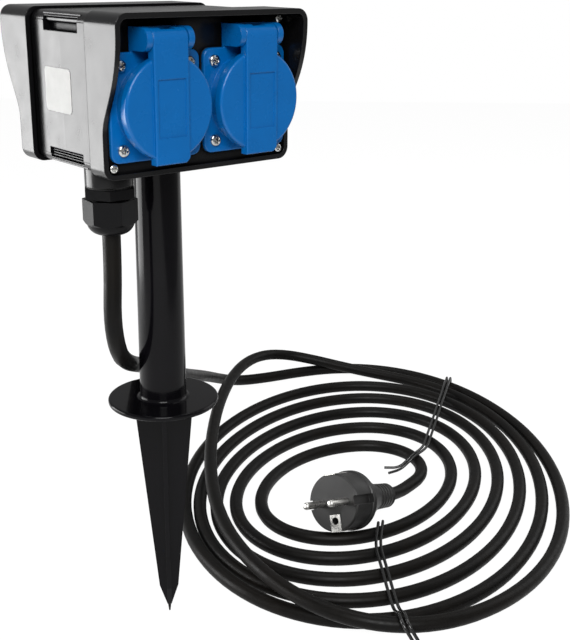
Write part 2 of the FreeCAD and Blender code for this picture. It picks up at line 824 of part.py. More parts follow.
def make_lid_spring(cx):
    """Torsion spring round the hinge pin, with one leg against the block behind it."""
    start_x = cx - spring_turns * spring_pitch / 2
    steps = spring_turns * 4

    def place(step):
        angle = math.pi / 2 * step
        x = start_x + spring_pitch * step / 4
        return V(x, hinge_y - spring_radius * math.sin(angle), hinge_z - spring_radius * math.cos(angle))

    def direction(step):
        angle = math.pi / 2 * step
        slope = spring_pitch / (2 * math.pi)
        raw = V(slope, -spring_radius * math.cos(angle), spring_radius * math.sin(angle))
        return raw * (1 / raw.Length)

    reach = knuckle_radius + 2 * gap - gap - spring_wire_radius
    first = place(0) - direction(0) * reach
    edges = [Part.LineSegment(first, place(0)).toShape()]
    for step in range(steps):
        edges += biarc(place(step), direction(step), place(step + 1), direction(step + 1))
    edges.append(Part.LineSegment(place(steps), place(steps) + direction(steps) * spring_leg).toShape())
    return pipe(edges, spring_wire_radius)


# Gland and the wiring that enters through it

def hex_prism(flats, z0, z1, turn):
    corner = flats / math.sqrt(3)
    points = []
    for i in range(6):
        angle = math.radians(60 * i + turn)
        points.append(V(gland_x + corner * math.cos(angle), gland_y + corner * math.sin(angle), z0))
    return prism(points, V(0, 0, z1 - z0))


def make_gland_body():
    stub = rod_z(gland_x, gland_y, thread_radius, hex_top, body_bottom + body_floor)
    collar = hex_prism(hex_flats, hex_bottom, hex_top, hex_turn)
    neck = rod_z(gland_x, gland_y, neck_radius, hex_bottom - neck_length, hex_bottom)
    body = collar.fuse([stub, neck])
    bore = rod_z(gland_x, gland_y, cord_radius + 2 * gap, hex_bottom - neck_length - 1,
                 body_bottom + body_floor + 1)
    cup = rod_z(gland_x, gland_y, neck_bore, hex_bottom - neck_length - 1, hex_bottom - 0.5)
    return solid_of(body.cut([bore, cup]))


def make_gland_washer():
    ring = rod_z(gland_x, gland_y, boss_radius - 0.6, hex_top, boss_bottom)
    return solid_of(ring.cut(rod_z(gland_x, gland_y, thread_radius + slip, hex_top - 1, boss_bottom + 1)))


def make_gland_cap_nut():
    """Six-sided cap nut with a domed lower end."""
    blank = hex_prism(hex_flats, nut_bottom, nut_top, nut_turn)
    dome_top = nut_bottom + nut_dome
    corner = hex_flats / math.sqrt(3)
    edges = [
        Part.LineSegment(V(0, 0, nut_bottom), V(nut_mouth_radius, 0, nut_bottom)),
        Part.Arc(V(nut_mouth_radius, 0, nut_bottom),
                 V(nut_dome_radius - 1.4, 0, nut_bottom + 0.42 * nut_dome), V(nut_dome_radius, 0, dome_top)),
        Part.LineSegment(V(nut_dome_radius, 0, dome_top), V(corner - nut_chamfer, 0, dome_top)),
        Part.LineSegment(V(corner - nut_chamfer, 0, dome_top), V(corner + 0.1, 0, dome_top + nut_chamfer)),
        Part.LineSegment(V(corner + 0.1, 0, dome_top + nut_chamfer), V(corner + 0.1, 0, nut_top)),
        Part.LineSegment(V(corner + 0.1, 0, nut_top), V(0, 0, nut_top)),
        Part.LineSegment(V(0, 0, nut_top), V(0, 0, nut_bottom)),
    ]
    turning = Part.Face(Part.Wire([e.toShape() for e in edges])).revolve(V(0, 0, 0), V(0, 0, 1), 360)
    turning.translate(V(gland_x, gland_y, 0))
    nut = blank.common(turning)
    room = rod_z(gland_x, gland_y, neck_radius + gap, nut_bottom + nut_dome - 0.5, nut_top + 1)
    mouth = rod_z(gland_x, gland_y, cord_radius + 2 * gap, nut_bottom - 1, nut_top)
    return solid_of(nut.cut([room, mouth]))


def make_gland_seal():
    low = nut_bottom + nut_dome - 0.5 + gap
    high = hex_bottom - 0.5 - gap
    sleeve = rod_z(gland_x, gland_y, grip_seal_radius, low, high)
    return solid_of(sleeve.cut(rod_z(gland_x, gland_y, cord_radius + gap, low - 1, high + 1)))


def core_top():
    return body_bottom + body_floor + 2.5


def make_cable_entry():
    """The jacketed end of the cable, held in the gland."""
    return rod_z(gland_x, gland_y, cord_radius, nut_bottom, core_top())


def make_supply_cores():
    """Three insulated cores from the jacket's end up to the three bars."""
    bend_z = core_top() + 3.4
    lane_y = gland_y + 10.5
    stop_y = -(bar_thickness / 2 + gap)
    live_z = socket_z + bar_offset + bar_height / 2
    neutral_z = socket_z - bar_offset - bar_height / 2
    earth_z = socket_z - earth_bar_drop - earth_bar_height / 2
    cores = []
    for lane, target in ((-1, live_z), (0, neutral_z), (1, earth_z)):
        x0 = gland_x + lane * core_spacing
        x1 = gland_x + lane * (core_spacing + 1.0) + 0.7
        points = [V(x0, gland_y, core_top()), V(x0, gland_y, bend_z), V(x1, lane_y, bend_z),
                  V(x1, lane_y, target), V(x1, stop_y, target)]
        cores.append(pipe(cord_edges(points, "core"), core_radius))
    return cores


# Coil of the supply cable

def bump(k):
    """A smooth hill, one at k = 0 and nought from k = 1 on."""
    return math.cos(math.pi * k / 2) ** 2 if abs(k) < 1 else 0.0


def mix(a, b, t):
    return [p + (q - p) * t for p, q in zip(a, b)]


def last_bend_centre():
    """Middle of the round bend that brings the cable to the plug."""
    heading = math.radians(plug_heading)
    finish = math.radians(coil_start_angle - 360 * coil_turns)
    plug_end = plug_face - plug_axis() * plug_length()
    x = plug_end.x - last_bend_to_plug * math.cos(heading) - last_bend_radius * math.cos(finish)
    y = plug_end.y - last_bend_to_plug * math.sin(heading) - last_bend_radius * math.sin(finish)
    return V(x, y, 0)


def ring_shape(turn):
    """Centre, half axes and lie of the oval that the cable follows at this turn of the coil."""
    outermost = [210.1, 51.49, 217.46, 147.41, 48.12]
    innermost = [190.18, 44.22, 76.2, 55.78, 15.08]
    centre = last_bend_centre()
    last_bend = [centre.x, centre.y, last_bend_radius, last_bend_radius, 0.0]
    inward = max(0.0, min(turn / coil_steady_turns, 1.0)) ** coil_ease
    ring = mix(outermost, innermost, inward)
    t = (turn - coil_turns + coil_last_turns) / coil_last_turns
    if t > 0:
        ring = mix(ring, last_bend, t * t * (3 - 2 * t))
    return ring


def coil_point(turn):
    """A point of the cable's centre line, wound inwards and clockwise seen from above.

    The first turn leaves its ring twice: it crosses over the others, then stands out in a loose loop.
    """
    cx, cy, a, b, lie = ring_shape(turn)
    lie = math.radians(lie)
    angle = math.radians(coil_start_angle - 360 * turn) - lie
    x = a * math.cos(angle)
    y = b * math.sin(angle)
    across = bump((turn - crossing_turn) / crossing_half_width)
    stray = bump((turn - loop_turn) / loop_half_width)
    rise = crossing_rise * bump((turn - crossing_turn) / crossing_rise_half_width)
    rise += loop_rise * bump((turn - loop_turn) / loop_rise_half_width)
    px = cx + x * math.cos(lie) - y * math.sin(lie) + crossing_shift_x * across + loop_shift_x * stray
    py = cy + x * math.sin(lie) + y * math.cos(lie) + crossing_shift_y * across + loop_shift_y * stray
    return V(px, py, coil_height + rise)


def coil_direction(turn):
    step = 0.001
    raw = coil_point(turn + step) - coil_point(turn - step)
    return raw * (1 / raw.Length)


def coil_stations():
    """Turn counts where the arcs of the coil meet, twice as many in the raised part of the first turn."""
    stations = []
    turn = 0.0
    while turn < coil_turns - 0.07:
        stations.append(turn)
        raised = abs(turn - crossing_turn) < crossing_rise_half_width + 0.05
        turn += 0.0625 if raised else 0.125
    return stations + [coil_turns]


def make_cable_coil():
    lead_in = 2 * cord_radius
    start = coil_point(0)
    edges = [Part.LineSegment(start - coil_direction(0) * lead_in, start).toShape()]
    stations = coil_stations()
    for a, b in zip(stations, stations[1:]):
        edges += biarc(coil_point(a), coil_direction(a), coil_point(b), coil_direction(b))
    end = coil_point(coil_turns)
    edges.append(Part.LineSegment(end, end + coil_direction(coil_turns) * lead_in).toShape())
    least_gap_to_itself(edges)
    return pipe(edges, cord_radius)


def least_gap_to_itself(edges):
    """Least open gap between turns, measured on points of the tube's own path."""
    points = []
    length = 0.0
    for edge in edges:
        count = max(2, int(edge.Length / 4))
        for i in range(count):
            p = edge.valueAt(edge.FirstParameter + (edge.LastParameter - edge.FirstParameter) * i / count)
            points.append((length + edge.Length * i / count, p))
        length += edge.Length
    least = 1e9
    where = points[0][1]
    for i, (s, p) in enumerate(points):
        for t, q in points[i + 1:]:
            if t - s > 10 * cord_radius and (p - q).Length < least:
                least = (p - q).Length
                where = p
    least -= 2 * cord_radius
    print("coil least gap %.2f mm at %.0f %.0f %.0f" % (least, where.x, where.y, where.z))
    print("coil length %.0f mm" % length)
    print("coil height over the ground %.2f mm" % (min(p.z for s, p in points) - cord_radius))
    tight = [e.Curve.Radius for e in edges if hasattr(e.Curve, "Radius")]
    print("coil least radius %.1f mm" % min(tight))


# Lead and tail of the cable

def lead_points():
    start = V(gland_x, gland_y, nut_bottom)
    end = coil_point(0) - coil_direction(0) * 2 * cord_radius
    before = end - coil_direction(0) * 28
    return [start, start + V(0, 0, -21), V(-40.6, -16.9, 196), V(-33.5, -9.5, 174), V(-17, 8, 160),
            V(5, 34, 146),
            V(36, 68, 127), V(74, 105, 103), V(114, 144, 79), V(152, 183, 57), V(187, 217, 37),
            V(217, 241, 20), V(244, 250, 8), before, end]


def make_cable_lead():
    return pipe(cord_edges(lead_points(), "lead"), cord_radius)


def plug_axis():
    """Unit direction in which the plug's face looks."""
    heading = math.radians(plug_heading)
    tilt = math.radians(plug_tilt)
    return V(math.cos(heading) * math.cos(tilt), math.sin(heading) * math.cos(tilt), math.sin(tilt))


def plug_length():
    return plug_front_length + plug_rim_length + plug_cone_length + relief_length


def tail_points():
    end = plug_face - plug_axis() * plug_length()
    start = coil_point(coil_turns) + coil_direction(coil_turns) * 2 * cord_radius
    behind = (end.z - start.z) / math.sin(plug_tilt * math.pi / 180)
    corner = end - plug_axis() * behind
    return [start, V(corner.x, corner.y, start.z), end]


def make_cable_tail():
    return pipe(cord_edges(tail_points(), "tail"), cord_radius)


# Plug, built with its face at z = 0 looking up and then laid in place

def place_plug(shape):
    axis = plug_axis()
    shape.rotate(V(0, 0, 0), V(0, 0, 1), plug_roll)
    shape.rotate(V(0, 0, 0), V(0, 1, 0), 90 - plug_tilt)
    shape.rotate(V(0, 0, 0), V(0, 0, 1), plug_heading)
    shape.translate(plug_face)
    return shape


def revolve_outline(points):
    wire = Part.makePolygon([V(r, 0, z) for r, z in points] + [V(points[0][0], 0, points[0][1])])
    return Part.Face(wire).revolve(V(0, 0, 0), V(0, 0, 1), 360)


def relief_outline():
    """Outline of the grooved strain relief, from the cone down to the cable."""
    top = -(plug_front_length + plug_rim_length + plug_cone_length)
    step = relief_length / (relief_rings + 0.5)
    points = [(relief_start_radius, top)]
    for i in range(relief_rings):
        z = top - step * i
        t = (i + 0.5) / relief_rings
        radius = relief_start_radius + (relief_end_radius - relief_start_radius) * t
        points.append((radius, z - relief_ring_width * 0.15))
        points.append((radius, z - relief_ring_width))
        points.append((radius - relief_groove_depth, z - relief_ring_width - 0.4))
        points.append((radius - relief_groove_depth, z - step))
    points.append((relief_end_radius, top - relief_length))
    return points


def make_plug_body():
    rim_top = -plug_front_length
    rim_low = rim_top - plug_rim_length
    outline = [(0, 0), (plug_radius - 1.0, 0), (plug_radius, -1.0), (plug_radius, rim_top),
               (plug_rim_radius, rim_top - 0.6), (plug_rim_radius, rim_low + 0.6),
               (plug_rim_radius - 1.2, rim_low)]
    outline += relief_outline()
    outline.append((0, -plug_length()))
    body = revolve_outline(outline)
    depth = plug_front_length + 0.5
    cuts = []
    for sign in (-1, 1):
        x0, x1 = sorted((sign * (plug_radius - key_depth), sign * (plug_radius + 2)))
        cuts.append(box(x0, x1, -key_width / 2, key_width / 2, -depth, 1))
        y0, y1 = sorted((sign * (plug_radius - strip_thickness - 0.3), sign * (plug_radius + 1)))
        cuts.append(box(-strip_width / 2 - slip, strip_width / 2 + slip, y0, y1, -depth + 1.5, 1))
        root = plug_pin_root + slip
        cuts.append(Part.makeCylinder(plug_pin_root_radius + gap, root + 1,
                                      V(sign * pin_spacing / 2, 0, -root)))
    cuts.append(Part.makeCylinder(earth_hole_radius, earth_hole_depth,
                                  V(0, -earth_hole_place(), -earth_hole_depth + 0.01)))
    face_plate = box(-strip_width / 2 - slip, strip_width / 2 + slip, -plug_radius - 1,
                     -earth_plate_top() + slip,
                     -strip_thickness - slip, 1)
    cuts.append(face_plate)
    return place_plug(solid_of(body.cut(cuts)))


def earth_hole_place():
    return plug_radius - 7.2


def earth_plate_top():
    return earth_hole_place() - 4.2


def make_plug_pins():
    """Two pins that stand on the face, each on a thinner root inside the body."""
    pins = []
    for sign in (-1, 1):
        x = sign * pin_spacing / 2
        pin = Part.makeCylinder(plug_pin_radius, plug_pin_length, V(x, 0, 0))
        tip = [e for e in pin.Edges if e.BoundBox.ZMin > plug_pin_length - 0.1]
        root = Part.makeCylinder(plug_pin_root_radius, plug_pin_root + 0.5, V(x, 0, -plug_pin_root))
        pins.append(place_plug(solid_of(pin.makeFillet(plug_pin_tip, tip).fuse(root))))
    return pins


def make_plug_earth_contact():
    """Two side springs of the plug, the lower one with the plate that holds the earth hole."""
    depth = plug_front_length - 1.5
    outer = plug_radius - 0.1
    strips = []
    for sign in (-1, 1):
        y0, y1 = sorted((sign * (outer - strip_thickness), sign * outer))
        strips.append(box(-strip_width / 2, strip_width / 2, y0, y1, -depth, 0.2))
    plate = box(-strip_width / 2, strip_width / 2, -outer, -earth_plate_top(), -strip_thickness, 0.2)
    plate = plate.cut(Part.makeCylinder(earth_hole_radius, 4, V(0, -earth_hole_place(), -2)))
    lower = solid_of(strips[0].fuse(plate))
    return [place_plug(lower), place_plug(strips[1])]


# Wire ties

def strands_across(base, angle, shift=0.0):
    """Distances and heights of the cable where it passes a ray on the ground, from the inside out."""
    a = math.radians(angle)
    found = []
    count = int(coil_turns * 240)
    last = None
    for i in range(count + 1):
        p = coil_point(coil_turns * i / count)
        along = (p.x - base.x) * math.cos(a) + (p.y - base.y) * math.sin(a)
        aside = (p.y - base.y) * math.cos(a) - (p.x - base.x) * math.sin(a) - shift
        if last is not None and last * aside <= 0 and along > 0:
            found.append((along, p.z))
        last = aside
    return sorted(found)


def ray_point(base, angle, along, aside, z):
    a = math.radians(angle)
    x = base.x + along * math.cos(a) - aside * math.sin(a)
    y = base.y + along * math.sin(a) + aside * math.cos(a)
    return V(x, y, z)


def tie_over_bundle(base, angle, aside):
    """Points of a tie wire over all strands but the innermost, with a little wave."""
    strands = strands_across(base, angle, aside)
    points = []
    for i, (along, z) in enumerate(strands[1:-1]):
        points.append(ray_point(base, angle, along, aside, z + tie_over + tie_wave * (i % 2)))
    along, z = strands[-1]
    points.append(ray_point(base, angle, along - 2.5, aside, z + tie_over + 0.3))
    points.append(ray_point(base, angle, along + tie_beside, aside, z + tie_over + 0.3))
    return points


def back_tie_wire(aside):
    """From the ground outside the coil over the bundle and the last bend to the ground inside."""
    low = tie_radius + floor_gap
    high = coil_height + tie_over
    centre = last_bend_centre()
    base = ray_point(centre, back_tie_root_angle - 1.5, last_bend_radius + 3.8, 0, 0)
    along, z = strands_across(base, back_tie_angle, aside)[-1]
    foot = along + tie_beside + tie_slope * (z + tie_over - low)
    points = [ray_point(base, back_tie_angle, foot, aside, low)]
    points += tie_over_bundle(base, back_tie_angle, aside)[::-1]
    along, z = strands_across(base, back_tie_angle, aside)[0]
    points.append(ray_point(base, back_tie_angle, along, aside, z + tie_over + tie_wave))
    points.append(ray_point(base, back_tie_angle, 14, aside, high))
    reach = last_bend_radius - 2.9
    points.append(ray_point(centre, back_tie_root_angle, reach, aside, high))
    points.append(ray_point(centre, back_tie_root_angle, reach - 11, aside, low))
    points.append(ray_point(centre, back_tie_root_angle, reach - 22, aside * 3, low))
    return points


def front_tie_wire(aside):
    """From the ground inside the coil over the bundle, down outside it and along the ground."""
    low = tie_radius + floor_gap
    along, z = strands_across(front_tie_root, front_tie_root_angle, aside)[0]
    drop = z + tie_over - low
    root = along - tie_beside
    points = [ray_point(front_tie_root, front_tie_root_angle, root - tie_slope * drop, aside, low),
              ray_point(front_tie_root, front_tie_root_angle, root, aside, z + tie_over)]
    points += tie_over_bundle(front_tie_centre, front_tie_angle, aside)
    along, z = strands_across(front_tie_centre, front_tie_angle, aside)[-1]
    drop = z + tie_over - low
    foot = along + tie_beside + tie_slope * drop
    points.append(ray_point(front_tie_centre, front_tie_angle, foot, aside + 12, low))
    points.append(ray_point(front_tie_centre, front_tie_angle, foot - 0.32 * tie_tail,
                            aside * 3 + 12 + 0.94 * tie_tail, low))
    return points


def make_tie(wire):
    pair = []
    for side in (-0.5, 0.5):
        pair.append(pipe(cord_edges(wire(side * tie_pair_gap), "tie"), tie_radius))
    return pair


# Build

def build_sockets():
    live, neutral = contact_columns()
    for side, angle in SIDES:
        gaskets = []
        carriers = []
        clips = []
        contacts = []
        for hand, sign in HANDS:
            cx = sign * socket_pitch / 2
            tag = side + "_" + hand
            export("socket_body_" + tag, turned(make_socket_body(cx), angle))
            export("lid_" + tag, turned(make_lid(cx), angle))
            export("lid_seal_" + tag, turned(make_lid_seal(cx), angle))
            export("hinge_pin_" + tag, turned(make_hinge_pin(cx), angle))
            export("lid_spring_" + tag, turned(make_lid_spring(cx), angle))
            gaskets.append(turned(make_flange_gasket(cx), angle))
            carriers.append(turned(make_contact_carrier(cx), angle))
            clips.append(turned(make_earth_contact(cx), angle))
            contacts.append(turned(make_pin_contact(cx - pin_spacing / 2), angle))
            contacts.append(turned(make_pin_contact(cx + pin_spacing / 2), angle))
        export("flange_gaskets_" + side, group(gaskets))
        export("contact_carriers_" + side, group(carriers))
        export("earth_contacts_" + side, group(clips))
        export("pin_contacts_" + side, group(contacts))
        export("flange_screws_" + side, group([turned(s, angle) for s in make_flange_screws()]))
        export("frame_screws_" + side, group([turned(s, angle) for s in make_frame_screws()]))
        export("hood_frame_" + side, turned(make_hood_frame(), angle))
        export("frame_seal_" + side, turned(make_frame_seal(), angle))
    export("busbar_live", make_busbar(live, 1))
    export("busbar_neutral", make_busbar(neutral, -1))
    export("busbar_earth", make_earth_bar())


def build_cable():
    export("gland_body", make_gland_body())
    export("gland_washer", make_gland_washer())
    export("gland_cap_nut", make_gland_cap_nut())
    export("gland_seal", make_gland_seal())
    export("cable_entry", make_cable_entry())
    export("supply_cores", group(make_supply_cores()))
    export("cable_lead", make_cable_lead())
    export("cable_coil", make_cable_coil())
    export("cable_tail", make_cable_tail())
    export("plug_body", make_plug_body())
    export("plug_pins", group(make_plug_pins()))
    export("plug_earth_contact", group(make_plug_earth_contact()))
    export("cable_tie_back", group(make_tie(back_tie_wire)))
    export("cable_tie_front", group(make_tie(front_tie_wire)))


def main():
    os.makedirs("parts", exist_ok=True)
    export("ground_spike", make_spike())
    export("main_housing", make_main_housing())
    build_sockets()
    build_cable()


main()
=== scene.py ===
import math

import bmesh
import bpy
from mathutils import Matrix, Vector


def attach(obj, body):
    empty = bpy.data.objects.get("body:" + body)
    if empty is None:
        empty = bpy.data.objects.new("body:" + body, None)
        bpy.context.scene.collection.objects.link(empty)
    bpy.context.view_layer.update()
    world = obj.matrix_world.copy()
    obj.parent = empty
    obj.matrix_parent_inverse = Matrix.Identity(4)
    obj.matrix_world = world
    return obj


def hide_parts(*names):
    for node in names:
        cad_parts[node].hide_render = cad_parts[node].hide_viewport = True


bl_info = {
    "name": "Garden Socket Spike",
    "version": (1, 0, 0),
    "blender": (4, 5, 0),
    "location": "View3D > Sidebar > Garden Spike",
    "description": "Dresses the garden socket spike: cable, plug, box, sockets, lids, screws, ties and stage",
    "category": "Object",
}

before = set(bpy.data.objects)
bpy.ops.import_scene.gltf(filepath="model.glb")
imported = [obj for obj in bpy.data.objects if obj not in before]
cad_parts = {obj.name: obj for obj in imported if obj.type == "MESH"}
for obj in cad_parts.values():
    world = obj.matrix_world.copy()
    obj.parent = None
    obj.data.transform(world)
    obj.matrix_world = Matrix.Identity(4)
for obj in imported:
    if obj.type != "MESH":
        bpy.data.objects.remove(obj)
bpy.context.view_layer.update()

MM = 0.001
SIDES = ("front", "rear")
SOCKETS = ("front_left", "front_right", "rear_left", "rear_right")

# Where the photograph was taken from, in metres, and how the camera lay there
CAMERA_PLACE = (-0.30515, -0.46419, 0.3694)
CAMERA_FORWARD = Vector((0.61297, 0.72292, -0.31883))
CAMERA_LEVEL = Vector((0.7628, -0.6467, 0.0))
CAMERA_ROLL = math.radians(0.52)

# Places and sizes that the pieces share with the solids, in millimetres
HOUSING_BOTTOM = 272.0
SIDE_WALL = 51.5
SIDE_CREASE = 0.6
BODY_HALF_DEPTH = 27.8
SOCKET_Z = 304.75
SOCKET_X = 26.25
FLANGE_FRONT = 41.3
PLATE_FRONT = 38.3
FLANGE_SCREW_REACH = 19.0
FLANGE_SCREW_HEAD = 2.9
FLANGE_SCREW_LENGTH = 10.0
FRAME_SCREW_X = 49.2
FRAME_SCREW_Z = (277.4, 342.1)
FRAME_SCREW_HEAD = 2.3
FRAME_SCREW_LENGTH = 14.0
SCREW_HEAD_HEIGHT = 1.8
PLUG_FACE = Vector((127.2, -5.2, 30.6))
PLUG_HEADING = math.radians(191.65)
PLUG_TILT = math.radians(18.0)
PLUG_LENGTH = 67.0

# The blank label's place on the left wall and its corners, in millimetres
LABEL_Y = 4.5
LABEL_RISE = 37.5
LABEL_CORNER = 2.2
LABEL_BEDDED = 0.02
LABEL_PROUD = 0.16

# The cable's route, in millimetres and turns of the coil
LEAD_ROUTE = (
    (-38.0, -15.5, 241.0), (-38.0, -15.5, 220.0), (-40.6, -16.9, 196.0), (-33.5, -9.5, 174.0),
    (-17.0, 8.0, 160.0), (5.0, 34.0, 146.0), (36.0, 68.0, 127.0), (74.0, 105.0, 103.0), (114.0, 144.0, 79.0),
    (152.0, 183.0, 57.0), (187.0, 217.0, 37.0), (217.0, 241.0, 20.0), (244.0, 250.0, 8.0))
LEAD_TO_COIL = 37.0
OUTERMOST_RING = (210.1, 51.49, 217.46, 147.41, 48.12)
INNERMOST_RING = (190.18, 44.22, 76.2, 55.78, 15.08)
COIL_START_ANGLE = 68.0
COIL_TURNS = 6.406
COIL_STEADY_TURNS = 6.0
COIL_EASE = 1.232
COIL_LAST_TURNS = 0.74
COIL_HEIGHT = 4.7
COIL_POINTS_PER_TURN = 28
LAST_BEND = 38.0
LAST_BEND_TO_PLUG = 38.5
CROSSING_TURN = 0.728
CROSSING_HALF = 0.27
CROSSING_RISE_HALF = 0.443
CROSSING_RISE = 14.42
CROSSING_SHIFT = (21.47, -14.26)
LOOP_TURN = 0.894
LOOP_HALF = 0.185
LOOP_RISE_HALF = 0.2136
LOOP_RISE = 12.77
LOOP_SHIFT = (46.33, 39.93)

# How the stage is lit: how much of the paper's own light the camera sees replaced by its glow, what rays
# off gloss and metal see of the background, and the level of the air for all other rays
PAPER_GLOW = 1.07
PAPER_GLOW_SHARE = 0.9
GLOSS_SEES = 0.25
AIR_LEVEL = 0.1
# Soft boxes: name, place, target, width and height in metres, watts
LAMPS = (
    ("low_left_box", (-0.52, 0.56, 0.22), (-0.05, 0.0, 0.3), 0.55, 0.44, 6.2),
    ("front_box", (-0.9, -1.3, 1.35), (0.0, 0.0, 0.25), 1.0, 1.0, 38.0),
    ("top_box", (0.3, 0.3, 1.7), (0.1, 0.0, 0.1), 1.0, 1.0, 8.0),
    ("right_fill", (1.5, -0.2, 0.9), (0.1, 0.0, 0.2), 1.0, 1.2, 5.0),
)


# Finishes

def new_finish(name):
    """An empty material with its shader and its output, and a short way to add nodes."""
    material = bpy.data.materials.new(name)
    material.use_nodes = True
    tree = material.node_tree
    tree.nodes.clear()
    output = tree.nodes.new("ShaderNodeOutputMaterial")
    shader = tree.nodes.new("ShaderNodeBsdfPrincipled")
    tree.links.new(shader.outputs["BSDF"], output.inputs["Surface"])
    return material, tree, shader


def grain(tree, scale, detail=3.0, roughness=0.55, stretch=None):
    """A noise over the object's own place in metres, stretched where a finish has a direction."""
    place = tree.nodes.new("ShaderNodeTexCoord")
    mapping = tree.nodes.new("ShaderNodeMapping")
    if stretch:
        mapping.inputs["Scale"].default_value = stretch
    noise = tree.nodes.new("ShaderNodeTexNoise")
    noise.inputs["Scale"].default_value = scale
    noise.inputs["Detail"].default_value = detail
    noise.inputs["Roughness"].default_value = roughness
    tree.links.new(place.outputs["Object"], mapping.inputs["Vector"])
    tree.links.new(mapping.outputs["Vector"], noise.inputs["Vector"])
    return noise.outputs["Fac"]


def ramp(tree, source, low, high, start=0.3, end=0.7):
    """Two colours or greys spread over part of a noise's reach."""
    node = tree.nodes.new("ShaderNodeValToRGB")
    node.color_ramp.elements[0].position = start
    node.color_ramp.elements[1].position = end
    node.color_ramp.elements[0].color = low if len(low) == 4 else (*low, 1.0)
    node.color_ramp.elements[1].color = high if len(high) == 4 else (*high, 1.0)
    tree.links.new(source, node.inputs["Fac"])
    return node.outputs["Color"]


def grey(value):
    """A grey with its alpha, for a ramp."""
    return (value, value, value, 1.0)


def bump(tree, source, strength, distance, shader, edge=0.0):
    """A fine relief, over edges that catch the light as if rounded by a small radius."""
    node = tree.nodes.new("ShaderNodeBump")
    node.inputs["Strength"].default_value = strength
    node.inputs["Distance"].default_value = distance
    tree.links.new(source, node.inputs["Height"])
    if edge:
        soft = tree.nodes.new("ShaderNodeBevel")
        soft.samples = 6
        soft.inputs["Radius"].default_value = edge
        tree.links.new(soft.outputs["Normal"], node.inputs["Normal"])
    tree.links.new(node.outputs["Normal"], shader.inputs["Normal"])


def shaded(colour, share):
    return tuple(c * share for c in colour)


def moulded(name, colour, shade, rough, rough_spread, pitch=900.0, relief=0.00002, edge=0.0, level=0.5,
            hollow_painted_shade=False):
    """Moulded plastic or rubber: faint cloudy colour, uneven gloss, a fine grain and softly rounded edges, and,
    where asked, painted shade that dims the gloss in hollows.
    """
    material, tree, shader = new_finish(name)
    cloud = grain(tree, 38.0, 4.0, 0.6)
    tree.links.new(ramp(tree, cloud, shade, colour), shader.inputs["Base Color"])
    gloss = grain(tree, 95.0, 3.0, 0.5)
    low = grey(max(0.05, rough - rough_spread))
    tree.links.new(ramp(tree, gloss, low, grey(rough + rough_spread)), shader.inputs["Roughness"])
    bump(tree, grain(tree, pitch, 2.0, 0.5), 0.35, relief, shader, edge)
    shader.inputs["Specular IOR Level"].default_value = level
    # Painted shade: ambient occlusion lowers the gloss level in hollows, creases and recesses, so their
    # reflections go dark as if in shade.
    if hollow_painted_shade:
        shade_occlusion = tree.nodes.new("ShaderNodeAmbientOcclusion")
        shade_occlusion.inputs["Distance"].default_value = 0.008
        shaded_gloss_level = tree.nodes.new("ShaderNodeMapRange")
        shaded_gloss_level.inputs["From Min"].default_value = 0.55
        shaded_gloss_level.inputs["From Max"].default_value = 0.95
        shaded_gloss_level.inputs["To Min"].default_value = 0.0
        shaded_gloss_level.inputs["To Max"].default_value = level
        tree.links.new(shade_occlusion.outputs["AO"], shaded_gloss_level.inputs["Value"])
        tree.links.new(shaded_gloss_level.outputs["Result"], shader.inputs["Specular IOR Level"])
    return material


def metal(name, colour, shade, rough, brushed=None, pitch=160.0):
    """Plated or drawn metal with faint stains and fine lines."""
    material, tree, shader = new_finish(name)
    stain = grain(tree, 70.0, 4.0, 0.6)
    tree.links.new(ramp(tree, stain, shade, colour), shader.inputs["Base Color"])
    lines = grain(tree, pitch, 2.0, 0.5, brushed)
    tree.links.new(ramp(tree, lines, grey(rough * 0.7), grey(rough * 1.4)), shader.inputs["Roughness"])
    shader.inputs["Metallic"].default_value = 1.0
    bump(tree, lines, 0.2, 0.000015, shader)
    return material


FINISHES = {}


def make_finishes(colours):
    """Every finish of the object, made once."""
    black = tuple(colours.housing_black)
    # The housing gets painted shade in its hollows: ambient occlusion dims its gloss there.
    FINISHES["housing"] = moulded("satin_black_housing", black, shaded(black, 0.7), 0.24, 0.04, pitch=1400.0,
                                  relief=0.000012, edge=0.0006, level=0.34, hollow_painted_shade=True)
    pole = tuple(colours.pole_black)
    FINISHES["pole"] = moulded("glossy_black_pole", pole, shaded(pole, 0.6), 0.13, 0.03, pitch=700.0,
                               relief=0.00001, edge=0.0006, level=0.14)
    blue = tuple(colours.lid_blue)
    FINISHES["blue"] = moulded("lid_blue_moulding", blue, shaded(blue, 0.88), 0.26, 0.05, pitch=1500.0,
                               relief=0.000012, edge=0.0005, level=0.34)
    rubber = tuple(colours.rubber_black)
    FINISHES["cord"] = cord_finish(rubber)
    FINISHES["plug"] = moulded("plug_rubber", shaded(rubber, 4.5), shaded(rubber, 2.0), 0.48, 0.06, pitch=1100.0,
                               relief=0.00003, edge=0.0004)
    FINISHES["gland"] = moulded("gland_nylon", black, shaded(black, 0.7), 0.34, 0.05, edge=0.0004, level=0.12)
    FINISHES["seal"] = moulded("seal_rubber", (0.012, 0.012, 0.012), (0.008, 0.008, 0.008), 0.65, 0.05)
    FINISHES["carrier"] = moulded("carrier_plastic", (0.016, 0.016, 0.017), (0.012, 0.012, 0.013), 0.45, 0.05)
    FINISHES["tie"] = moulded("tie_sleeve", (0.014, 0.014, 0.014), (0.008, 0.008, 0.008), 0.22, 0.05, 900.0)
    FINISHES["core"] = moulded("core_sleeves", (0.16, 0.08, 0.03), (0.03, 0.09, 0.2), 0.4, 0.05)
    FINISHES["label"] = label_finish()
    FINISHES["zinc"] = metal("bright_zinc", (0.70, 0.70, 0.68), (0.42, 0.42, 0.41), 0.11)
    FINISHES["nickel"] = metal("plug_nickel", (0.84, 0.83, 0.80), (0.66, 0.65, 0.62), 0.27)
    FINISHES["steel"] = metal("drawn_steel", (0.62, 0.62, 0.62), (0.48, 0.48, 0.48), 0.3, (1.0, 8.0, 8.0))
    FINISHES["brass"] = metal("contact_brass", (0.80, 0.60, 0.28), (0.62, 0.44, 0.18), 0.28)


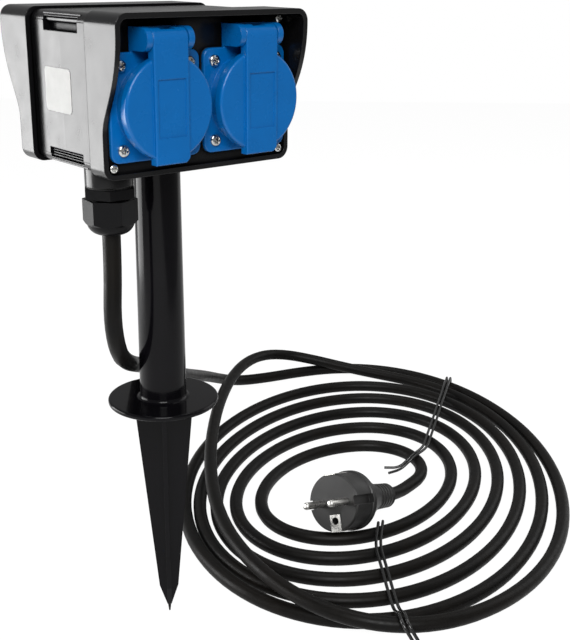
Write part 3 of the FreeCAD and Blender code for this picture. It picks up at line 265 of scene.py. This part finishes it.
def cord_finish(rubber):
    """Rubber jacket: matt black with a brown cast, rub marks along it and a soft skin."""
    material, tree, shader = new_finish("cord_rubber")
    cloud = grain(tree, 26.0, 5.0, 0.65)
    brown = (rubber[0] * 1.9, rubber[1] * 1.55, rubber[2] * 1.2)
    tree.links.new(ramp(tree, cloud, rubber, brown, 0.38, 0.75), shader.inputs["Base Color"])
    rub = grain(tree, 210.0, 3.0, 0.6)
    tree.links.new(ramp(tree, rub, grey(0.36), grey(0.5)), shader.inputs["Roughness"])
    shader.inputs["Specular IOR Level"].default_value = 0.12
    bump(tree, grain(tree, 520.0, 3.0, 0.5), 0.3, 0.00006, shader)
    shader.inputs["Sheen Weight"].default_value = 0.01
    shader.inputs["Sheen Roughness"].default_value = 0.4
    return material


def label_finish():
    """Blank paper sticker, soft in gloss."""
    material, tree, shader = new_finish("blank_label")
    cloud = grain(tree, 60.0, 4.0, 0.6)
    tree.links.new(ramp(tree, cloud, (0.33, 0.33, 0.32), (0.39, 0.39, 0.38)), shader.inputs["Base Color"])
    tree.links.new(ramp(tree, grain(tree, 400.0), grey(0.45), grey(0.6)), shader.inputs["Roughness"])
    bump(tree, grain(tree, 1800.0, 2.0, 0.5), 0.2, 0.00001, shader)
    return material


def sees_background(tree):
    """One for the camera's rays, a share for rays off metal and gloss or through glass, nought for the light."""
    path = tree.nodes.new("ShaderNodeLightPath")
    thrown = tree.nodes.new("ShaderNodeMath")
    thrown.operation = "MAXIMUM"
    tree.links.new(path.outputs["Is Glossy Ray"], thrown.inputs[0])
    tree.links.new(path.outputs["Is Transmission Ray"], thrown.inputs[1])
    share = tree.nodes.new("ShaderNodeMath")
    share.operation = "MULTIPLY"
    share.inputs[1].default_value = GLOSS_SEES
    tree.links.new(thrown.outputs["Value"], share.inputs[0])
    seen = tree.nodes.new("ShaderNodeMath")
    seen.operation = "MAXIMUM"
    tree.links.new(path.outputs["Is Camera Ray"], seen.inputs[0])
    tree.links.new(share.outputs["Value"], seen.inputs[1])
    return seen.outputs["Value"]


def dress(node, finish):
    """Gives a solid carried over from the frame its finish."""
    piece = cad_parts[node]
    piece.data.materials.clear()
    piece.data.materials.append(FINISHES[finish])
    for face in piece.data.polygons:
        face.material_index = 0


# Ways to build meshes

def piece_from(name, mesh_data, finish, body):
    """Turns a bmesh into a named piece that rides on a body."""
    mesh = bpy.data.meshes.new(name)
    mesh_data.to_mesh(mesh)
    mesh_data.free()
    for face in mesh.polygons:
        face.use_smooth = True
    mesh.materials.append(FINISHES[finish])
    piece = bpy.data.objects.new(name, mesh)
    bpy.context.scene.collection.objects.link(piece)
    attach(piece, body)
    return piece


def smooth_by_angle(piece, degrees):
    """Keeps the edges sharper than the angle crisp."""
    mesh_data = bmesh.new()
    mesh_data.from_mesh(piece.data)
    limit = math.radians(degrees)
    for edge in mesh_data.edges:
        if len(edge.link_faces) == 2 and edge.calc_face_angle(0.0) > limit:
            edge.smooth = False
    mesh_data.to_mesh(piece.data)
    mesh_data.free()


def cross_recess_screw(mesh_data, place, head_radius, head_height, shank_radius, length, turn):
    """Pan-head screw along -Z with a cross recess, its seat at height nought."""
    steps = 48
    arm = head_radius * 0.56
    width = head_radius * 0.17
    depth = head_height * 0.62
    rings = []
    radii = [0.0, 0.5 * width, width, 1.5 * width, 0.5 * arm, 0.75 * arm, 0.92 * arm, arm, arm * 1.12]
    radii += [head_radius * k for k in (0.72, 0.82, 0.9, 0.96, 1.0)]
    for radius in radii:
        if radius == 0.0:
            rings.append([mesh_data.verts.new(place @ Vector((0, 0, head_height - depth)))])
            continue
        ring = []
        for i in range(steps):
            angle = 2 * math.pi * i / steps
            x = radius * math.cos(angle)
            y = radius * math.sin(angle)
            aside = min(abs(x), abs(y))
            k = radius / head_radius
            top = head_height * (1 - 0.42 * k ** 4) if k < 0.999 else head_height * 0.3
            inside = max(0.0, 1 - (aside / width) ** 6) if aside < width else 0.0
            reach = 1.0 if radius <= 0.75 * arm else max(0.0, (arm * 1.06 - radius) / (arm * 0.31))
            reach = min(1.0, reach)
            height = top - depth * inside * reach
            direction = Matrix.Rotation(turn, 4, "Z") @ Vector((x, y, height))
            ring.append(mesh_data.verts.new(place @ direction))
        rings.append(ring)
    for radius, height in ((head_radius, 0.0), (shank_radius, 0.0), (shank_radius, -length + 1.0),
                           (shank_radius * 0.4, -length), (0.0, -length)):
        if radius == 0.0:
            rings.append([mesh_data.verts.new(place @ Vector((0, 0, height)))])
            continue
        ring = []
        for i in range(steps):
            angle = 2 * math.pi * i / steps
            direction = Matrix.Rotation(turn, 4, "Z") @ Vector((
                radius * math.cos(angle), radius * math.sin(angle), height))
            ring.append(mesh_data.verts.new(place @ direction))
        rings.append(ring)
    for inner, outer in zip(rings, rings[1:]):
        for i in range(steps):
            j = (i + 1) % steps
            if len(inner) == 1:
                mesh_data.faces.new((inner[0], outer[i], outer[j]))
            elif len(outer) == 1:
                mesh_data.faces.new((inner[i], outer[0], inner[j]))
            else:
                mesh_data.faces.new((inner[i], outer[i], outer[j], inner[j]))


# Cable route, the same as the solid's

def hill(k):
    """A smooth hump from minus one to one."""
    return math.cos(math.pi * k / 2) ** 2 if abs(k) < 1 else 0.0


def plug_axis():
    """The way the plug's pins point."""
    return Vector((math.cos(PLUG_HEADING) * math.cos(PLUG_TILT), math.sin(PLUG_HEADING) * math.cos(PLUG_TILT),
                   math.sin(PLUG_TILT)))


def ring_shape(turn):
    """Centre, half axes and lie of the oval that the cable follows at this turn of the coil."""
    finish = math.radians(COIL_START_ANGLE - 360 * COIL_TURNS)
    end = PLUG_FACE - plug_axis() * PLUG_LENGTH
    bend = (end.x - LAST_BEND_TO_PLUG * math.cos(PLUG_HEADING) - LAST_BEND * math.cos(finish),
            end.y - LAST_BEND_TO_PLUG * math.sin(PLUG_HEADING) - LAST_BEND * math.sin(finish),
            LAST_BEND, LAST_BEND, 0.0)
    k = max(0.0, min(turn / COIL_STEADY_TURNS, 1.0)) ** COIL_EASE
    ring = [a + (b - a) * k for a, b in zip(OUTERMOST_RING, INNERMOST_RING)]
    t = (turn - COIL_TURNS + COIL_LAST_TURNS) / COIL_LAST_TURNS
    if t > 0:
        k = t * t * (3 - 2 * t)
        ring = [a + (b - a) * k for a, b in zip(ring, bend)]
    return ring


def coil_point(turn):
    """A point of the cable's centre line, wound inwards and clockwise seen from above."""
    cx, cy, a, b, lie = ring_shape(turn)
    lie = math.radians(lie)
    angle = math.radians(COIL_START_ANGLE - 360 * turn) - lie
    x = a * math.cos(angle)
    y = b * math.sin(angle)
    # the first turn crosses over the others, then stands out in a loose loop
    across = hill((turn - CROSSING_TURN) / CROSSING_HALF)
    stray = hill((turn - LOOP_TURN) / LOOP_HALF)
    rise = CROSSING_RISE * hill((turn - CROSSING_TURN) / CROSSING_RISE_HALF)
    rise += LOOP_RISE * hill((turn - LOOP_TURN) / LOOP_RISE_HALF)
    px = cx + x * math.cos(lie) - y * math.sin(lie) + CROSSING_SHIFT[0] * across + LOOP_SHIFT[0] * stray
    py = cy + x * math.sin(lie) + y * math.cos(lie) + CROSSING_SHIFT[1] * across + LOOP_SHIFT[1] * stray
    return Vector((px, py, COIL_HEIGHT + rise))


def cable_points():
    """Lead down from the gland, the coil's turns by a loop, and the last length up to the plug."""
    points = [Vector(p) for p in LEAD_ROUTE]
    start = (coil_point(0.001) - coil_point(0.0)).normalized()
    points.append(coil_point(0.0) - start * LEAD_TO_COIL)
    count = int(COIL_TURNS * COIL_POINTS_PER_TURN)
    for i in range(count + 1):
        points.append(coil_point(COIL_TURNS * i / count))
    end = PLUG_FACE - plug_axis() * PLUG_LENGTH
    behind = (end.z - points[-1].z) / math.sin(PLUG_TILT)
    points.append(end - plug_axis() * behind)
    points.append(end)
    return points


class GardenSpikeColours(bpy.types.PropertyGroup):
    """Colours that a user would change."""
    housing_black: bpy.props.FloatVectorProperty(
        name="Housing black", description="Colour of the box, its hoods and the gland", subtype="COLOR",
        size=3, min=0.0, max=1.0, default=(0.0045, 0.0045, 0.005))
    pole_black: bpy.props.FloatVectorProperty(
        name="Pole black", description="Colour of the pole, the disc and the spike", subtype="COLOR",
        size=3, min=0.0, max=1.0, default=(0.0035, 0.0032, 0.0042))
    lid_blue: bpy.props.FloatVectorProperty(
        name="Lid blue", description="Colour of the lids and the socket flanges", subtype="COLOR",
        size=3, min=0.0, max=1.0, default=(0.0004, 0.118, 0.385))
    rubber_black: bpy.props.FloatVectorProperty(
        name="Rubber black", description="Colour of the cable's jacket and the plug", subtype="COLOR",
        size=3, min=0.0, max=1.0, default=(0.0032, 0.0031, 0.0030))
    floor_white: bpy.props.FloatVectorProperty(
        name="Floor white", description="Colour of the paper under the object", subtype="COLOR",
        size=3, min=0.0, max=1.0, default=(0.90, 0.90, 0.90))


class GardenSpikeSizes(bpy.types.PropertyGroup):
    """Sizes that a user would change."""
    camera_lens: bpy.props.FloatProperty(
        name="Camera lens", description="Focal length of the camera on a 36 mm sensor", default=60.09,
        min=20.0, max=200.0)
    cord_diameter: bpy.props.FloatProperty(
        name="Cable diameter", description="Outside diameter of the rubber jacket", default=0.0092,
        min=0.005, max=0.02, unit="LENGTH")
    label_width: bpy.props.FloatProperty(
        name="Label width", description="Width of the blank sticker on the left wall", default=0.025,
        min=0.0, max=0.05, unit="LENGTH")
    label_height: bpy.props.FloatProperty(
        name="Label height", description="Height of the blank sticker on the left wall", default=0.021,
        min=0.0, max=0.04, unit="LENGTH")
    lamp_strength: bpy.props.FloatProperty(
        name="Lamp strength", description="Brightness of all the soft lamps together", default=1.0,
        min=0.0, max=5.0, subtype="FACTOR")


class SPIKE_OT_place_camera(bpy.types.Operator):
    """Stands the camera where the photograph was taken from"""
    bl_idname = "garden_spike.place_camera"
    bl_label = "Place camera"

    def execute(self, context):
        sizes = context.scene.garden_spike_sizes
        camera = bpy.data.cameras.new("photo_camera")
        camera.sensor_width = 36.0
        camera.lens = sizes.camera_lens
        camera.clip_start = 0.01
        holder = bpy.data.objects.new("photo_camera", camera)
        context.scene.collection.objects.link(holder)
        forward = CAMERA_FORWARD.normalized()
        level = CAMERA_LEVEL.normalized()
        upright = level.cross(forward)
        right = level * math.cos(CAMERA_ROLL) + upright * math.sin(CAMERA_ROLL)
        up = right.cross(forward)
        turn = Matrix((right, up, -forward)).transposed().to_4x4()
        holder.matrix_world = Matrix.Translation(CAMERA_PLACE) @ turn
        context.scene.camera = holder
        return {"FINISHED"}


class SPIKE_OT_lay_cable(bpy.types.Operator):
    """Lays the rubber cable from the gland through the coil to the plug"""
    bl_idname = "garden_spike.lay_cable"
    bl_label = "Lay cable"

    def execute(self, context):
        sizes = context.scene.garden_spike_sizes
        points = cable_points()
        line = bpy.data.curves.new("supply_cable", "CURVE")
        line.dimensions = "3D"
        line.bevel_depth = sizes.cord_diameter / 2
        line.bevel_resolution = 5
        line.resolution_u = 4
        spline = line.splines.new("NURBS")
        spline.points.add(len(points) - 1)
        for spot, point in zip(spline.points, points):
            spot.co = (*(point * MM), 1.0)
        spline.order_u = 3
        spline.use_endpoint_u = True
        line.materials.append(FINISHES["cord"])
        cable = bpy.data.objects.new("supply_cable", line)
        context.scene.collection.objects.link(cable)
        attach(cable, "base")
        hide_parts("cable_lead", "cable_coil", "cable_tail")
        return {"FINISHED"}


class SPIKE_OT_finish_plug(bpy.types.Operator):
    """Gives the moulded plug its rubber and its plated pins"""
    bl_idname = "garden_spike.finish_plug"
    bl_label = "Finish plug"

    def execute(self, context):
        dress("plug_body", "plug")
        dress("plug_pins", "nickel")
        dress("plug_earth_contact", "nickel")
        return {"FINISHED"}


class SPIKE_OT_finish_gland(bpy.types.Operator):
    """Gives the cable gland and what it holds their finishes"""
    bl_idname = "garden_spike.finish_gland"
    bl_label = "Finish gland"

    def execute(self, context):
        for node in ("gland_body", "gland_cap_nut"):
            dress(node, "gland")
        for node in ("gland_washer", "gland_seal"):
            dress(node, "seal")
        dress("cable_entry", "cord")
        dress("supply_cores", "core")
        return {"FINISHED"}


class SPIKE_OT_finish_spike(bpy.types.Operator):
    """Gives the pole, disc and fins their glossy black"""
    bl_idname = "garden_spike.finish_spike"
    bl_label = "Finish spike"

    def execute(self, context):
        dress("ground_spike", "pole")
        return {"FINISHED"}


class SPIKE_OT_finish_box(bpy.types.Operator):
    """Gives the body and the hoods their satin black, and sticks the blank label on"""
    bl_idname = "garden_spike.finish_box"
    bl_label = "Finish box"

    def execute(self, context):
        dress("main_housing", "housing")
        for side in SIDES:
            dress("hood_frame_" + side, "housing")
            dress("frame_seal_" + side, "seal")
            dress("flange_gaskets_" + side, "seal")
        self.stick_label(context.scene.garden_spike_sizes)
        return {"FINISHED"}

    def stick_label(self, sizes):
        """A thin sticker with rounded corners, bent over the wall's crease."""
        half = sizes.label_width / 2
        rise = sizes.label_height / 2
        centre_y = LABEL_Y * MM
        centre_z = (HOUSING_BOTTOM + LABEL_RISE) * MM
        corner = LABEL_CORNER * MM
        outline = []
        for sy, sz, start in ((1, 1, 0), (-1, 1, 90), (-1, -1, 180), (1, -1, 270)):
            for i in range(7):
                a = math.radians(start + 15 * i)
                outline.append((sy * (half - corner) + corner * math.cos(a),
                                sz * (rise - corner) + corner * math.sin(a)))
            if sy * sz > 0:
                outline.append((-centre_y, sz * rise))
        sheet = bmesh.new()
        lower = []
        upper = []
        for y, z in outline:
            wall = -(SIDE_WALL + SIDE_CREASE * (1 - abs(y + centre_y) / (BODY_HALF_DEPTH * MM)))
            lower.append(sheet.verts.new(((wall + LABEL_BEDDED) * MM, y + centre_y, z + centre_z)))
            upper.append(sheet.verts.new(((wall - LABEL_PROUD) * MM, y + centre_y, z + centre_z)))
        for ring in (upper, lower[::-1]):
            folds = [i for i, v in enumerate(ring) if abs(v.co.y) < 1e-6]
            sheet.faces.new(ring[folds[0]:folds[1] + 1])
            sheet.faces.new(ring[folds[1]:] + ring[:folds[0] + 1])
        for i in range(len(outline)):
            j = (i + 1) % len(outline)
            sheet.faces.new((lower[i], lower[j], upper[j], upper[i]))
        bmesh.ops.recalc_face_normals(sheet, faces=sheet.faces)
        label = piece_from("blank_label", sheet, "label", "base")
        smooth_by_angle(label, 30)


class SPIKE_OT_finish_sockets(bpy.types.Operator):
    """Gives the flanges, the wells and the contacts inside the box their finishes"""
    bl_idname = "garden_spike.finish_sockets"
    bl_label = "Finish sockets"

    def execute(self, context):
        for tag in SOCKETS:
            dress("socket_body_" + tag, "blue")
        for side in SIDES:
            dress("contact_carriers_" + side, "carrier")
            dress("earth_contacts_" + side, "nickel")
            dress("pin_contacts_" + side, "brass")
        for bar in ("live", "neutral", "earth"):
            dress("busbar_" + bar, "brass")
        return {"FINISHED"}


class SPIKE_OT_finish_lids(bpy.types.Operator):
    """Gives the lids, their seals, hinge pins and springs their finishes"""
    bl_idname = "garden_spike.finish_lids"
    bl_label = "Finish lids"

    def execute(self, context):
        for tag in SOCKETS:
            dress("lid_" + tag, "blue")
            dress("lid_seal_" + tag, "seal")
            dress("hinge_pin_" + tag, "steel")
            dress("lid_spring_" + tag, "steel")
        return {"FINISHED"}


class SPIKE_OT_drive_screws(bpy.types.Operator):
    """Turns the cross-recessed screws into the flanges and the frames"""
    bl_idname = "garden_spike.drive_screws"
    bl_label = "Drive screws"

    def execute(self, context):
        for side, out in (("front", -1.0), ("rear", 1.0)):
            places = []
            for cx in (-SOCKET_X, SOCKET_X):
                places += [(cx + sx * FLANGE_SCREW_REACH, SOCKET_Z + sz * FLANGE_SCREW_REACH)
                           for sx in (-1, 1) for sz in (-1, 1)]
            self.screws("flange_screws_" + side, out, places, FLANGE_FRONT, FLANGE_SCREW_HEAD, FLANGE_SCREW_LENGTH)
            corners = [(sx * FRAME_SCREW_X, z) for sx in (-1, 1) for z in FRAME_SCREW_Z]
            self.screws("frame_screws_" + side, out, corners, PLATE_FRONT, FRAME_SCREW_HEAD, FRAME_SCREW_LENGTH)
        return {"FINISHED"}

    def screws(self, node, out, places, seat, head_radius, length):
        """One piece with all the screws of a node, each stopped at its own angle."""
        mesh_data = bmesh.new()
        for i, (x, z) in enumerate(places):
            place = Matrix.Translation((x * MM, out * seat * MM, z * MM))
            place = place @ Matrix.Rotation(-out * math.pi / 2, 4, "X") @ Matrix.Scale(MM, 4)
            cross_recess_screw(mesh_data, place, head_radius, SCREW_HEAD_HEIGHT, head_radius / 2, length,
                               0.4 + 2.399 * i)
        bmesh.ops.recalc_face_normals(mesh_data, faces=mesh_data.faces)
        piece = piece_from(node + "_crossed", mesh_data, "zinc", "base")
        smooth_by_angle(piece, 40)
        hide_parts(node)


class SPIKE_OT_twist_ties(bpy.types.Operator):
    """Gives the two doubled wire ties their glossy sleeves"""
    bl_idname = "garden_spike.twist_ties"
    bl_label = "Twist ties"

    def execute(self, context):
        for node in ("cable_tie_back", "cable_tie_front"):
            dress(node, "tie")
        return {"FINISHED"}


class SPIKE_OT_light_stage(bpy.types.Operator):
    """Builds the pale floor and the soft studio light"""
    bl_idname = "garden_spike.light_stage"
    bl_label = "Light stage"

    def execute(self, context):
        scene = context.scene
        colours = scene.garden_spike_colours
        strength = scene.garden_spike_sizes.lamp_strength
        self.floor(context, tuple(colours.floor_white))
        self.world(scene)
        for name, place, target, width, height, watts in LAMPS:
            self.lamp(context, name, place, target, width, height, watts * strength)
        scene.view_settings.view_transform = "Standard"
        return {"FINISHED"}

    def floor(self, context, white):
        """A sheet of white paper, seen as glowing, that ends at the right, out of the picture."""
        mesh_data = bmesh.new()
        rows = []
        for along in (-3.0, -0.5, 2.6):
            rows.append([mesh_data.verts.new((0.61 * along + 0.72 * across, 0.72 * along - 0.61 * across, 0.0))
                         for across in (-4.0, 0.5 + 0.45 * max(0.0, along + 0.5))])
        for a, b in zip(rows, rows[1:]):
            mesh_data.faces.new((a[0], a[1], b[1], b[0]))
        mesh = bpy.data.meshes.new("studio_floor")
        mesh_data.to_mesh(mesh)
        mesh_data.free()
        for face in mesh.polygons:
            face.use_smooth = True
        material, tree, shader = new_finish("studio_paper")
        tree.links.new(ramp(tree, grain(tree, 3.0), tuple(c * 0.985 for c in white), white),
                       shader.inputs["Base Color"])
        shader.inputs["Roughness"].default_value = 0.9
        shader.inputs["Specular IOR Level"].default_value = 0.1
        glow = tree.nodes.new("ShaderNodeEmission")
        glow.inputs["Strength"].default_value = PAPER_GLOW
        blend = tree.nodes.new("ShaderNodeMixShader")
        glowing = tree.nodes.new("ShaderNodeMath")
        glowing.operation = "MULTIPLY"
        glowing.inputs[1].default_value = PAPER_GLOW_SHARE
        tree.links.new(sees_background(tree), glowing.inputs[0])
        tree.links.new(glowing.outputs["Value"], blend.inputs["Fac"])
        tree.links.new(shader.outputs["BSDF"], blend.inputs[1])
        tree.links.new(glow.outputs["Emission"], blend.inputs[2])
        output = [n for n in tree.nodes if n.type == "OUTPUT_MATERIAL"][0]
        tree.links.new(blend.outputs["Shader"], output.inputs["Surface"])
        mesh.materials.append(material)
        floor = bpy.data.objects.new("studio_floor", mesh)
        context.scene.collection.objects.link(floor)

    def world(self, scene):
        """White air for the camera, dim for the light on the object."""
        world = bpy.data.worlds.new("studio_air")
        world.use_nodes = True
        tree = world.node_tree
        back = tree.nodes["Background"]
        back.inputs["Color"].default_value = (1.0, 1.0, 1.0, 1.0)
        level = tree.nodes.new("ShaderNodeMapRange")
        level.inputs["To Min"].default_value = AIR_LEVEL
        level.inputs["To Max"].default_value = 1.0
        tree.links.new(sees_background(tree), level.inputs["Value"])
        tree.links.new(level.outputs["Result"], back.inputs["Strength"])
        scene.world = world

    def lamp(self, context, name, place, target, width, height, watts):
        """A soft box that looks at a point."""
        light = bpy.data.lights.new(name, "AREA")
        light.shape = "RECTANGLE"
        light.size = width
        light.size_y = height
        light.energy = watts
        holder = bpy.data.objects.new(name, light)
        context.scene.collection.objects.link(holder)
        look = Vector(target) - Vector(place)
        holder.matrix_world = Matrix.Translation(place) @ look.to_track_quat("-Z", "Y").to_matrix().to_4x4()


class SPIKE_PT_sidebar(bpy.types.Panel):
    """Lists the steps that dress the garden socket spike"""
    bl_idname = "SPIKE_PT_sidebar"
    bl_label = "Garden Socket Spike"
    bl_space_type = "VIEW_3D"
    bl_region_type = "UI"
    bl_category = "Garden Spike"

    def draw(self, context):
        layout = self.layout
        for group in (context.scene.garden_spike_colours, context.scene.garden_spike_sizes):
            for name in group.__annotations__:
                layout.prop(group, name)
        for step in STEPS:
            layout.operator(step.bl_idname)


STEPS = (
    SPIKE_OT_place_camera,
    SPIKE_OT_lay_cable,
    SPIKE_OT_finish_plug,
    SPIKE_OT_finish_gland,
    SPIKE_OT_finish_spike,
    SPIKE_OT_finish_box,
    SPIKE_OT_finish_sockets,
    SPIKE_OT_finish_lids,
    SPIKE_OT_drive_screws,
    SPIKE_OT_twist_ties,
    SPIKE_OT_light_stage,
)
CLASSES = (GardenSpikeColours, GardenSpikeSizes) + STEPS + (SPIKE_PT_sidebar,)


def register():
    for item in CLASSES:
        bpy.utils.register_class(item)
    bpy.types.Scene.garden_spike_colours = bpy.props.PointerProperty(type=GardenSpikeColours)
    bpy.types.Scene.garden_spike_sizes = bpy.props.PointerProperty(type=GardenSpikeSizes)


def unregister():
    del bpy.types.Scene.garden_spike_sizes
    del bpy.types.Scene.garden_spike_colours
    for item in reversed(CLASSES):
        bpy.utils.unregister_class(item)


def main():
    register()
    make_finishes(bpy.context.scene.garden_spike_colours)
    for step in STEPS:
        group, name = step.bl_idname.split(".")
        getattr(getattr(bpy.ops, group), name)()


if __name__ == "__main__":
    main()
